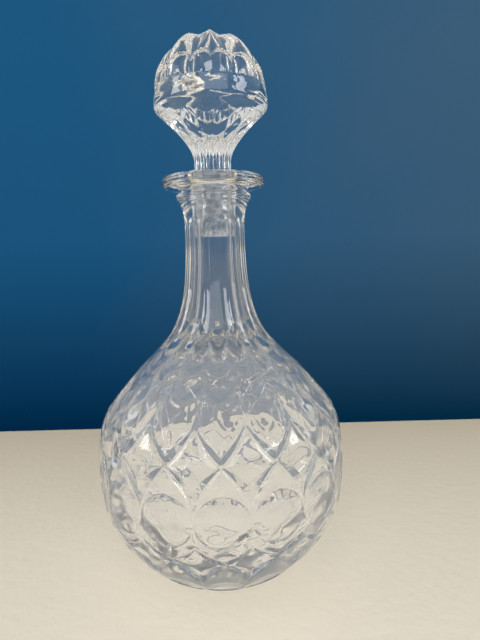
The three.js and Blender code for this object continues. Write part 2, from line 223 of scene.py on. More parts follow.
# Sleeve: its room in the bore, its wall, its ribs, and (step out, height) along its foot
# and round its flange
SLEEVE_ROOM = 0.8
SLEEVE_WALL = 1.1
SLEEVE_INNER = 0.8
RIBS = 4
RIB_HALF = 0.9
RIB_STANDS_OUT = 0.5
FLANGE = 2.2
FLANGE_UNDER = 0.3
FLANGE_TOP = 1.3
UNDER_FLANGE = 1.5
SLEEVE_FOOT = ((-SLEEVE_INNER, 0.1), (-0.6, 0.0), (-0.2, 0.0), (0.0, 0.25))
FLANGE_EDGE = ((-0.3, FLANGE_UNDER), (-0.05, 0.5), (0.0, 0.8), (-0.1, 1.15), (-0.4, FLANGE_TOP))

# Points round each mesh, and the angles past which their edges show sharp
BOTTLE_POINTS = 2 * sum(PATTERN_STEPS) * COLUMNS
LIP_POINTS = 12 * COLUMNS
HOLLOW_POINTS = 16 * COLUMNS
STOPPER_POINTS = 2 * sum(PETAL_STEPS) * PETALS
SLEEVE_POINTS = 128
GLASS_CREASE = math.radians(50)
SLEEVE_CREASE = math.radians(40)

# Glass: refraction, size of its waves, spread of its haze, and the share of light that
# goes on through each surface into a shadow
GLASS_IOR = 1.52
BOTTLE_WAVES = 55.0
STOPPER_WAVES = 90.0
STOPPER_WAVINESS = 1.3
HAZE_SCALE = 350.0
GLASS_HAZE = 0.008
GLASS_SHADOW = 0.98
WAVE_HEIGHT = 0.001

# Film inside the bottle: colour, haze, the roughness to which it fades and the heights
# between which it does, and its steps upwards as (name, clearness, top in millimetres),
# each top scalloped. Faces within reach of the hollow get it, up to the hollow's end.
FILM_COLOUR = (0.985, 0.975, 0.96, 1)
FILM_HAZE = 0.012
FILM_END_ROUGHNESS = 0.004
FILM_FADE = (0.13, 0.1)
FILM_CURVE = 7
FILM_STEPS = (("Hazy inside of the bottle", 0.925, 107), ("Thinner haze above", 0.94, 120))
HOLLOW_END = 140
HOLLOW_REACH = 1.6

# Sleeve plastic: refraction, clearness, specks, haze, its waves' strength and height, and
# the share of light that goes on into a shadow
PLASTIC_IOR = 1.49
PLASTIC_CLEARNESS = 0.98
SPECK_SCALE = 350.0
SPECK_RANGE = (0.4, 0.54)
PLASTIC_HAZE_SCALE = 1400.0
PLASTIC_HAZE = 0.05
PLASTIC_WAVINESS = 1.0
PLASTIC_WAVE_HEIGHT = 0.0004
PLASTIC_SHADOW = 0.93

# Floor: half its width, how far under the foot it lies, its painted shade far back and the
# depths between which that shade comes in, its roughness and its grain
FLOOR_HALF = 3
FLOOR_DROP = 0.0001
FLOOR_PAINTED_SHADE_COLOUR = (0.61, 0.53, 0.4, 1)
FLOOR_PAINTED_SHADE_DEPTHS = (-0.08, 0.2)
FLOOR_ROUGHNESS = 0.6
GRAIN_SCALE = 160.0
GRAIN_STRENGTH = 0.25
GRAIN_HEIGHT = 0.002

# Walls as (name, half width, height, distance behind the first), and how their glowing colour
# runs: painted shade at the foot and painted light at the top, up to a height, a paler painted
# light towards the right, and mottling
WALLS = (("wall", 0.42, 0.41, 0), ("wall_beyond", 3, 3, 0.001))
WALL_FOOT = -0.01
WALL_PAINTED_LIGHT_AND_SHADE = ((0.0, (0.0, 0.21, 0.28, 1)), (0.5, (0.97, 0.97, 0.97, 1)),
               (1.0, (1.1, 1.06, 1.03, 1)))
WALL_PAINTED_SHADE_TOP = 0.37
WALL_PAINTED_LIGHT_COLOUR = (0.042, 0.104, 0.18, 1)
WALL_PAINTED_LIGHT_REACH = 0.4
MOTTLE_SCALE = 5.0
MOTTLE = 0.28

# Soft lamps as (name, place, width, height, watts), and panes as (name, place)
LAMP_AIM = (0, 0, 0.12)
LAMPS = (
    ("top_lamp", (-0.1, -0.5, 1.0), 0.5, 0.5, 4.4),
    ("front_lamp", (0.2, -1.5, 0.9), 1.6, 1.0, 9),
    ("left_lamp", (-1.5, -0.5, 0.8), 0.4, 0.8, 6.5),
    ("right_lamp", (1.5, -0.6, 0.8), 0.35, 0.8, 5.5),
)
PANES = (
    ("pane_a", (0.95, -0.78, 0.7)),
    ("pane_b", (1.05, -0.62, 0.7)),
    ("pane_c", (-0.9, -0.7, 0.6)),
)
PANE_WIDTH = 0.12
PANE_HEIGHT = 0.4
PANE_WATTS = 1.2

# Light of the room, and the greys that are seen of it from the horizon up
ROOM_LIGHT = (1.0, 0.985, 0.96, 1)
ROOM_STRENGTH = 0.46
ROOM_GREYS = ((0.0, (0.38, 0.375, 0.37, 1)), (0.3, (0.62, 0.62, 0.61, 1)),
              (1.0, (0.76, 0.76, 0.76, 1)))

# Camera: place, look downwards and roll, and its focal length in a picture's height
CAMERA_PLACE = (0.0116, -0.2496, 0.1702)
CAMERA_PITCH = math.radians(7.79)
CAMERA_ROLL = math.radians(1.52)
SENSOR_HEIGHT = 36.0
FOCAL_SHARE = 481 / 640

# The stage faces the carafe from a little to one side of a column's middle
STAGE_TURN = Matrix.Rotation(math.radians(-2.06), 4, "Z")

# ---------------------------------------------------------------- sizes and colours

class CarafeBottleSizes(bpy.types.PropertyGroup):
    """Sizes of the bottle"""

    globe_radius: bpy.props.FloatProperty(
        name="Globe radius", description="Radius of the globe before it is cut",
        default=0.064, min=0.04, max=0.1, unit="LENGTH", subtype="DISTANCE")
    globe_wall: bpy.props.FloatProperty(
        name="Globe wall", description="Thickness of the glass round the globe",
        default=0.0056, min=0.003, max=0.012, unit="LENGTH", subtype="DISTANCE")
    base_thickness: bpy.props.FloatProperty(
        name="Base thickness", description="Thickness of the glass under the hollow",
        default=0.009, min=0.004, max=0.02, unit="LENGTH", subtype="DISTANCE")
    neck_radius: bpy.props.FloatProperty(
        name="Neck radius", description="Radius of the neck at its waist",
        default=0.0152, min=0.012, max=0.02, unit="LENGTH", subtype="DISTANCE")
    lip_radius: bpy.props.FloatProperty(
        name="Lip radius", description="Radius of the flange lip",
        default=0.0257, min=0.02, max=0.03, unit="LENGTH", subtype="DISTANCE")
    mitre_width: bpy.props.FloatProperty(
        name="Mitre width", description="Width of a mitre cut's broad side at its widest",
        default=0.0046, min=0.0005, max=0.006, unit="LENGTH", subtype="DISTANCE")
    mitre_depth: bpy.props.FloatProperty(
        name="Mitre depth", description="Depth of a mitre cut at its widest",
        default=0.0019, min=0.0003, max=0.003, unit="LENGTH", subtype="DISTANCE")
    print_depth: bpy.props.FloatProperty(
        name="Print depth", description="Depth of the round hollows on the widest part",
        default=0.0023, min=0.0003, max=0.004, unit="LENGTH", subtype="DISTANCE")
    flute_depth: bpy.props.FloatProperty(
        name="Flute depth", description="Depth of the flutes of the neck",
        default=0.0008, min=0.0001, max=0.002, unit="LENGTH", subtype="DISTANCE")
    ripple_depth: bpy.props.FloatProperty(
        name="Ripple depth", description="Depth of the slow waves on the inside of the globe",
        default=0.001, min=0.0, max=0.003, unit="LENGTH", subtype="DISTANCE")


class CarafeStopperSizes(bpy.types.PropertyGroup):
    """Sizes of the stopper"""

    girdle_radius: bpy.props.FloatProperty(
        name="Girdle radius", description="Radius of the band under the petals",
        default=0.028, min=0.02, max=0.035, unit="LENGTH", subtype="DISTANCE")
    table_radius: bpy.props.FloatProperty(
        name="Table radius", description="Radius of the flat top to its corners",
        default=0.0132, min=0.006, max=0.02, unit="LENGTH", subtype="DISTANCE")
    petal_bulge: bpy.props.FloatProperty(
        name="Petal bulge", description="How far a petal's middle stands out from its edges",
        default=0.0026, min=0.0, max=0.004, unit="LENGTH", subtype="DISTANCE")
    cone_flute_depth: bpy.props.FloatProperty(
        name="Cone flute depth", description="Depth of the flutes under the girdle",
        default=0.0025, min=0.0, max=0.003, unit="LENGTH", subtype="DISTANCE")
    window_depth: bpy.props.FloatProperty(
        name="Window depth", description="Depth of the arched windows under the petals",
        default=0.0022, min=0.0, max=0.004, unit="LENGTH", subtype="DISTANCE")
    notch_depth: bpy.props.FloatProperty(
        name="Notch depth", description="How far the edge of the flat top dips between two petals",
        default=0.0016, min=0.0, max=0.003, unit="LENGTH", subtype="DISTANCE")
    turn: bpy.props.FloatProperty(
        name="Turn", description="How far the stopper is turned in the neck",
        default=math.radians(3), subtype="ANGLE", unit="ROTATION")


class CarafeFinish(bpy.types.PropertyGroup):
    """Colours and finish of the glass and the sleeve"""

    glass_colour: bpy.props.FloatVectorProperty(
        name="Glass colour", description="Tint of the clear glass",
        default=(0.975, 0.985, 0.985), min=0.0, max=1.0, size=3, subtype="COLOR")
    glass_roughness: bpy.props.FloatProperty(
        name="Glass roughness", description="Roughness of the fire polished glass",
        default=0.003, min=0.0, max=0.3, subtype="FACTOR")
    waviness: bpy.props.FloatProperty(
        name="Waviness", description="Strength of the ripples that the mould leaves",
        default=0.18, min=0.0, max=1.0, subtype="FACTOR")
    inside_haze: bpy.props.FloatProperty(
        name="Inside haze", description="Roughness that use has left on the inside of the globe",
        default=0.016, min=0.0, max=0.6, subtype="FACTOR")
    sleeve_colour: bpy.props.FloatVectorProperty(
        name="Sleeve colour", description="Colour of the milky plastic sleeve",
        default=(0.45, 0.47, 0.5), min=0.0, max=1.0, size=3, subtype="COLOR")
    sleeve_roughness: bpy.props.FloatProperty(
        name="Sleeve roughness", description="Roughness of the plastic sleeve",
        default=0.03, min=0.0, max=1.0, subtype="FACTOR")


class CarafeStage(bpy.types.PropertyGroup):
    """Floor, wall and light"""

    floor_colour: bpy.props.FloatVectorProperty(
        name="Floor colour", description="Colour of the pale floor",
        default=(0.68, 0.62, 0.51), min=0.0, max=1.0, size=3, subtype="COLOR")
    wall_colour: bpy.props.FloatVectorProperty(
        name="Wall colour", description="Colour of the plain wall behind",
        default=(0.011, 0.088, 0.205), min=0.0, max=1.0, size=3, subtype="COLOR")
    wall_distance: bpy.props.FloatProperty(
        name="Wall distance", description="How far the wall stands behind the carafe",
        default=0.215, min=0.1, max=2.0, unit="LENGTH", subtype="DISTANCE")
    lamp_strength: bpy.props.FloatProperty(
        name="Lamp strength", description="Share of the soft lamps' full power",
        default=1.0, min=0.0, max=5.0, subtype="FACTOR")


# ---------------------------------------------------------------- shapes

def between(z, low, high):
    """How far z lies from one height to another, 0 to 1."""
    return np.clip((np.asarray(z, dtype=float) - low) / (high - low), 0.0, 1.0)


def part_way(z, low, high):
    """The same for a single height, as a plain number."""
    return float(between(z, low, high))


def blend(a, b, share):
    """The value that lies a share of the way from a to b."""
    return a + (b - a) * share


def egg_radius(z, radius, lower, upper):
    """Radius of an egg-like body whose lower and upper halves differ in height and roundness."""
    z = np.asarray(z, dtype=float)
    below = z < GLOBE_CENTRE
    power = np.where(below, LOWER_ROUNDNESS, UPPER_ROUNDNESS)
    t = np.minimum(np.abs(z - GLOBE_CENTRE) / np.where(below, lower, upper), 1.0)
    return radius * (1 - t ** power) ** (1 / power)


def bezier(corners, count=600):
    """Points of a cubic curve, as an array of (radius, height)."""
    a, b, c, d = (np.array(p, dtype=float) for p in corners)
    t = np.linspace(0, 1, count)[:, None]
    return (1 - t) ** 3 * a + 3 * (1 - t) ** 2 * t * b + 3 * (1 - t) * t ** 2 * c + t ** 3 * d


def flare_curve(radius, z, neck, top):
    """Flare from a globe of a radius at a height up to a straight neck."""
    rise = top - z
    return bezier([
        (radius, z), (blend(radius, neck, FLARE_IN), z + FLARE_UP_FOOT * rise),
        (neck, z + FLARE_UP_HEAD * rise), (neck, top)])


def radius_on(curve, z):
    """Radius at which a curve passes a height."""
    return np.interp(z, curve[:, 1], curve[:, 0])


def ring(angles, z, radii):
    """One ring of points. The angle runs from the front, -Y, towards +X."""
    radii = np.broadcast_to(radii, angles.shape)
    heights = np.full(angles.shape, float(z))
    return np.column_stack([radii * np.sin(angles), -radii * np.cos(angles), heights])


def even_angles(count):
    """Angles of so many even steps round a full turn."""
    return np.arange(count) * 2 * math.pi / count


def mirrored_angles(repeats, shares):
    """Angles round a full turn, from the shares of half a repeat that its first half holds."""
    one = np.concatenate([shares, 2 - shares[1:-1][::-1]])
    return (np.arange(repeats)[:, None] * 2 + one[None, :]).ravel() * math.pi / repeats


def share_at(angles, repeats):
    """0 on the middle of a repeat, 1 between two."""
    turn = angles * repeats / (2 * math.pi)
    return 2 * np.abs(turn - np.round(turn))


def steps_between(marks, counts):
    """Values that keep to the marks, with so many even steps between each two."""
    parts = [np.linspace(a, b, n, endpoint=False) for a, b, n in zip(marks, marks[1:], counts)]
    return np.concatenate(parts + [[marks[-1]]])


def join(low, high, start_low, start_high, faces):
    """Faces between two rings, which may differ in their number of points."""
    n, m = len(low), len(high)
    if n == m:
        for i in range(n):
            k = (i + 1) % n
            faces.append((start_low + i, start_low + k, start_high + k, start_high + i))
        return
    i = j = 0
    while i < n or j < m:
        a, b = start_low + i % n, start_high + j % m
        if (i + 1) / n <= (j + 1) / m:
            i += 1
            faces.append((a, start_low + i % n, b))
        else:
            j += 1
            faces.append((a, start_high + j % m, b))


def add_to_scene(name, data):
    """A new object that shows a mesh, lamp or camera."""
    thing = bpy.data.objects.new(name, data)
    bpy.context.scene.collection.objects.link(thing)
    return thing


def smooth_piece(name, vertices, faces, crease):
    """A smooth piece from points in millimetres, whose edges show sharp past an angle."""
    mesh = bpy.data.meshes.new(name)
    mesh.from_pydata((vertices * MM).tolist(), [], faces)
    mesh.validate()
    mesh.polygons.foreach_set("use_smooth", [True] * len(mesh.polygons))
    mesh.set_sharp_from_angle(angle=crease)
    mesh.update()
    return add_to_scene(name, mesh)


def closed_skin(name, rings, first_height, last_height):
    """A closed glass piece over a stack of rings, from the lowest outer one on."""
    ends = np.array([(0, 0, first_height), (0, 0, last_height)], dtype=float)
    vertices = np.vstack(rings + [ends])
    starts = np.concatenate([[0], np.cumsum([len(r) for r in rings])])
    faces = []
    for k in range(len(rings) - 1):
        join(rings[k], rings[k + 1], int(starts[k]), int(starts[k + 1]), faces)
    first, last = len(vertices) - 2, len(vertices) - 1
    n, m = len(rings[0]), len(rings[-1])
    faces += [((i + 1) % n, i, first) for i in range(n)]
    top = int(starts[-2])
    faces += [(top + i, top + (i + 1) % m, last) for i in range(m)]
    return smooth_piece(name, vertices, faces, GLASS_CREASE)


def turned_skin(name, profile, count, crease):
    """A closed turned piece from a profile of (radius, height) that ends where it starts."""
    angles = even_angles(count)
    rings = [ring(angles, z, r) for r, z in profile]
    faces = []
    for k in range(len(rings)):
        following = (k + 1) % len(rings)
        join(rings[k], rings[following], k * count, following * count, faces)
    return smooth_piece(name, np.vstack(rings), faces, crease)


def arc_of_points(r, z, size, start, turn, count):
    """Points of an arc about a centre, as (radius, height)."""
    angles = start + np.linspace(0, 1, count) * turn
    return [(r + size * math.cos(a), z + size * math.sin(a)) for a in angles]


# ---------------------------------------------------------------- bottle

def arc_share(z):
    """Where the mitre arc runs at a height: 0 on a column's middle, 1 between two columns."""
    if z < LOWER_CROSS:
        return part_way(z, LOWER_CROSS, FOOT_ARC) ** FOOT_BEND
    if z < LOWER_TOUCH:
        return 1 - part_way(z, LOWER_TOUCH, LOWER_CROSS) ** LOWER_BEND
    if z < UPPER_TOUCH:
        return 1.0
    if z < UPPER_CROSS:
        return 1 - part_way(z, UPPER_TOUCH, UPPER_CROSS) ** UPPER_BEND
    if z < TIP:
        return part_way(z, UPPER_CROSS, TIP) ** TIP_BEND
    return math.sqrt(max(0.0, 1 - part_way(z, TIP, ARCH_TOP) ** 2))


def swelling(away, power):
    """A cut that is pointed at both ends, and widest nearer its start."""
    return max(0.0, math.sin(math.pi * away ** power)) ** power


def fading(away, power, opening):
    """A cut that opens at a crossing and runs out to a point."""
    return (1 - away) ** power * min(1.0, away / opening)


def arc_swell(z):
    """Size of the mitre cut at a height, 0 to 1."""
    if z < LOWER_CROSS:
        return swelling(part_way(z, LOWER_CROSS, FOOT_ARC), FOOT_SWELL)
    if z < LOWER_TOUCH:
        return fading(part_way(z, LOWER_CROSS, LOWER_TOUCH), LOWER_FADE, LOWER_OPENING)
    if z < UPPER_TOUCH:
        return 0.0
    if z < UPPER_CROSS:
        return UPPER_FULLNESS * swelling(part_way(z, UPPER_CROSS, UPPER_TOUCH), UPPER_SWELL)
    return fading(part_way(z, UPPER_CROSS, TIP), TIP_FADE, TIP_OPENING)


def arc_spreads_upward(z):
    """Whether the arms of a mitre arc run away from the column's middle as they rise."""
    return LOWER_CROSS <= z < LOWER_TOUCH or z >= UPPER_CROSS


class BottleForm:
    """The bottle's formulas, from its sizes."""

    def __init__(self, sizes):
        self.globe = sizes.globe_radius / MM
        self.wall = sizes.globe_wall / MM
        self.base = sizes.base_thickness / MM
        self.neck = sizes.neck_radius / MM
        self.lip = sizes.lip_radius / MM
        self.mitre_width = sizes.mitre_width / MM
        self.mitre_depth = sizes.mitre_depth / MM
        self.flute_depth = sizes.flute_depth / MM
        self.ripple_depth = sizes.ripple_depth / MM
        shoulder = float(egg_radius(SHOULDER, self.globe, GLOBE_LOWER, GLOBE_UPPER))
        self.neck_flare = flare_curve(shoulder, SHOULDER, self.neck, WAIST)
        self.hollow_lower = GLOBE_CENTRE - self.base
        self.hollow_upper = GLOBE_UPPER - self.wall
        self.hollow_shoulder = SHOULDER - self.wall / 2
        inside = float(self.hollow_globe(self.hollow_shoulder))
        self.hollow_flare = flare_curve(inside, self.hollow_shoulder, BORE, BORE_FOOT)
        middle = (LOWER_CROSS + UPPER_CROSS) / 2 - MIDDLE_PRINT_DROP
        self.prints = [
            self.make_print(FOOT_ARC - FOOT_PRINT_DROP, FOOT_PRINT_DEPTH),
            self.make_print(middle, sizes.print_depth / MM),
            self.make_print(TIP + ARCH_PRINT_RISE, ARCH_PRINT_DEPTH, ARCH_PRINT_STRETCH),
        ]

    def hollow_globe(self, z):
        """Radius of the hollow in the globe."""
        return egg_radius(z, self.globe - self.wall, self.hollow_lower, self.hollow_upper)

    def inside(self, z):
        """Radius of the hollow at a height, up into the neck."""
        if z < self.hollow_shoulder:
            return float(self.hollow_globe(z))
        return float(radius_on(self.hollow_flare, z))

    def body(self, z):
        """Radius of the uncut outside at a height."""
        z = np.asarray(z, dtype=float)
        globe = egg_radius(z, self.globe, GLOBE_LOWER, GLOBE_UPPER)
        neck = radius_on(self.neck_flare, z)
        collar = blend(self.neck, COLLAR_RADIUS, between(z, WAIST, COLLAR) ** 3)
        return float(np.where(z < SHOULDER, globe, np.where(z < WAIST, neck, collar)))

    def make_print(self, z, depth, stretch=1.0):
        """A round hollow at a height, or an oval one."""
        radius = self.body(z) * HALF_COLUMN - PRINT_MARGIN
        return {"z": z, "depth": depth, "stretch": stretch, "radius": radius}

    def along(self, hollow, z):
        """Distance up the globe from a print's middle, before the print is stretched."""
        out = self.body(z) - self.body(hollow["z"])
        return math.hypot(z - hollow["z"], out) / hollow["stretch"]

    def print_depth(self, z, side):
        """How deep the prints are at a height, so far to the side of a column's middle."""
        depth = np.zeros(side.shape)
        for hollow in self.prints:
            reach = np.hypot(self.along(hollow, z), side) / hollow["radius"]
            cut = np.where(reach < 1, PRINT_STEP + hollow["depth"] * (1 - reach ** 2), 0)
            depth = np.maximum(depth, cut)
        return depth

    def print_half_width(self, z):
        """Half the width of the print that a height passes through."""
        for hollow in self.prints:
            along = self.along(hollow, z)
            if along < hollow["radius"]:
                return math.sqrt(hollow["radius"] ** 2 - along ** 2)
        return 0.0

    def pattern_ring(self, z):
        """One ring of the cut globe, whose points keep to the edges of prints and mitre cuts."""
        r = self.body(z)
        half = r * HALF_COLUMN
        swell = arc_swell(z)
        arc = arc_share(z)
        facet = FACET / half
        wide = self.mitre_width * swell / half
        steep = MITRE_STEEP_SIDE * wide
        within, beyond = (wide, steep) if arc_spreads_upward(z) else (steep, wide)
        middle = min(max(arc, 3 * facet), 1 - 2 * facet)
        inner = max(middle - max(within, facet), 2 * facet)
        outer = min(middle + max(beyond, facet), 1 - facet)
        edge = min(max(self.print_half_width(z) / half, 0.4 * inner), inner - facet)
        rim = PRINT_ROUND / half
        soft = MITRE_ROUND / half
        marks = [0.0]
        for mark in (edge - rim, edge + rim, inner - soft, inner + soft, middle - soft,
                     middle + soft, outer - soft, outer + soft, 1.0):
            marks.append(max(mark, marks[-1] + 0.2 * facet))
        angles = mirrored_angles(COLUMNS, steps_between(marks, PATTERN_STEPS) / marks[-1])
        share = share_at(angles, COLUMNS)
        slope = np.zeros(share.shape)
        if swell > 0:
            side = np.where(share < arc, within, beyond)
            slope = np.clip(1 - np.abs(share - arc) / side, 0, 1)
        mitre = self.mitre_depth * swell * slope
        return ring(angles, z, r - mitre - self.print_depth(z, share * half))

    def neck_ring(self, z):
        """Shallow flutes of the neck, with a scallop at the foot and at the head of each."""
        angles = mirrored_angles(COLUMNS, steps_between([0, 0.9, 1], [8, 2]))
        share = share_at(angles, COLUMNS)
        foot = FLUTE_FOOT + FLUTE_FOOT_CURVE * share ** 2
        head = FLUTE_HEAD - FLUTE_HEAD_CURVE * share ** 2
        rise = np.clip((z - foot) / FLUTE_START, 0, 1)
        fall = np.clip((head - z) / FLUTE_STOP, 0, 1)
        scoop = 1 + SCOOP * np.clip(1 - (z - foot) / SCOOP_HEIGHT, 0, 1) ** 2
        depth = self.flute_depth * scoop * (1 - share ** 2) * rise * fall
        return ring(angles, z, self.body(z) - depth)

    def pattern_levels(self, low):
        """Heights of the pattern's rings, closer together where the edges of prints turn."""
        marks = [low, FOOT_ARC, LOWER_CROSS, LOWER_TOUCH, UPPER_TOUCH, UPPER_CROSS, TIP, ARCH_TOP]
        levels = set(marks)
        for a, b in zip(marks, marks[1:]):
            levels.update(np.linspace(a, b, max(2, round((b - a) / LEVEL_STEP)), endpoint=False))
        for hollow in self.prints:
            slant = self.slant(hollow["z"])
            for degrees in range(45, 91, 5):
                reach = hollow["stretch"] * hollow["radius"] * math.sin(math.radians(degrees))
                levels.update([hollow["z"] - reach * slant, hollow["z"] + reach * slant])
        for degrees in range(50, 90, 6):
            levels.add(TIP + (ARCH_TOP - TIP) * math.sin(math.radians(degrees)))
        kept = [low]
        for z in sorted(levels):
            if z > kept[-1] + LEAST_STEP and z <= ARCH_TOP:
                kept.append(float(z))
        return kept

    def slant(self, z):
        """Height gained for each millimetre up the globe's surface."""
        return 1 / math.hypot(1, self.body(z + 0.5) - self.body(z - 0.5))

    def lip_profile(self):
        """From the collar over the bead and the lip into the mouth."""
        quarter = math.pi / 2
        points = arc_of_points(BEAD_CENTRE, BEAD, BEAD_ROUND, BEAD_START, quarter - BEAD_START, 18)
        points += LIP_CREASE
        edge = self.lip - LIP_ROUND
        points += arc_of_points(edge, LIP_UNDER + LIP_ROUND, LIP_ROUND, -quarter, quarter, 11)
        points += arc_of_points(edge, LIP_TOP - LIP_ROUND, LIP_ROUND, 0, quarter, 11)
        points += arc_of_points(
            MOUTH + MOUTH_ROUND, LIP_TOP - MOUTH_ROUND, MOUTH_ROUND, quarter, quarter, 8)
        return points

    def ripple(self, angles, z):
        """The hollow follows the cut a little, and has the slow waves that blowing leaves."""
        deep = between(z, *WAVES_COME) * between(z, *WAVES_GO)
        echo = math.sin(2 * math.pi * (z - ECHO_START) / ECHO_PITCH)
        wave = ECHO * np.cos(COLUMNS * angles) * echo
        for share, count, slant, start in SLANTED_WAVES:
            wave = wave + share * np.sin(count * angles + slant * z + start)
        sway = WINDING_SWAY * np.sin(WINDING_COUNT * angles)
        wave = wave + WINDING * np.sin(WINDING_RISE * z + sway)
        scallop = z - SCALLOP_CURVE * share_at(angles, COLUMNS) ** 2
        high = between(z, *SCALLOPS_COME) * between(z, *SCALLOPS_GO)
        arcs = high * np.cos(2 * math.pi * scallop / SCALLOP_PITCH)
        return -(deep * wave + SCALLOPS * arcs) * self.ripple_depth

    def foot_rings(self):
        """The recess under the foot, and the flat ring that the bottle stands on."""
        angles = even_angles(BOTTLE_POINTS)
        foot = self.body(RECESS) - FOOT_EDGE
        recess = foot - FOOT_RING
        stack = [ring(angles, RECESS, r) for r in (*RECESS_RINGS, recess - 1.6)]
        stack += [ring(angles, z, recess + out) for out, z in RECESS_EDGE]
        return stack + [ring(angles, z, foot + out) for out, z in RING_EDGE]

    def hollow_rings(self):
        """The bore and the hollow, from the mouth down to the base."""
        angles = even_angles(HOLLOW_POINTS)
        stack = [ring(angles, z, bore_radius(z))
                 for z in (LIP_TOP - 2, LIP_TOP - 8, BORE_MIDDLE, SEAT + 6, SEAT)]
        levels = list(steps_between([BORE_FOOT, self.hollow_shoulder, GLOBE_CENTRE], [70, 26]))
        for t in np.linspace(0, 1, 34, endpoint=False)[1:]:
            levels.append(GLOBE_CENTRE - self.hollow_lower * math.sin(t * math.pi / 2))
        return stack + [ring(angles, z, self.inside(z) + self.ripple(angles, z)) for z in levels]

    def rings(self):
        """All rings, from under the foot up the outside and down the inside."""
        stack = self.foot_rings()
        angles = even_angles(BOTTLE_POINTS)
        low = self.prints[0]["z"] - self.prints[0]["radius"] * 0.7
        stack += [ring(angles, z, self.body(z))
                  for z in np.linspace(RECESS, low, 6, endpoint=False)[1:]]
        stack += [self.pattern_ring(z) for z in self.pattern_levels(low)]
        neck = steps_between(
            [ARCH_TOP, FLUTE_FOOT, SCOOP_HEAD, WAIST, FLUTE_END, FLUTE_HEAD, COLLAR],
            [8, 20, 24, 2, 12, 6])
        stack += [self.neck_ring(z) for z in neck[1:]]
        stack += [ring(even_angles(LIP_POINTS), z, r) for r, z in self.lip_profile()]
        return stack + self.hollow_rings()


# ---------------------------------------------------------------- stopper and sleeve

def bore_radius(z):
    """Radius of the bore, which widens towards the mouth."""
    return blend(BORE, MOUTH, part_way(z, SEAT, LIP_TOP))


def sleeve_radius(z):
    """Outer radius of the sleeve between its ribs."""
    return bore_radius(z) - SLEEVE_ROOM


def plug_radius(z):
    """Radius of the stopper's plug inside the sleeve."""
    return sleeve_radius(z) - SLEEVE_WALL


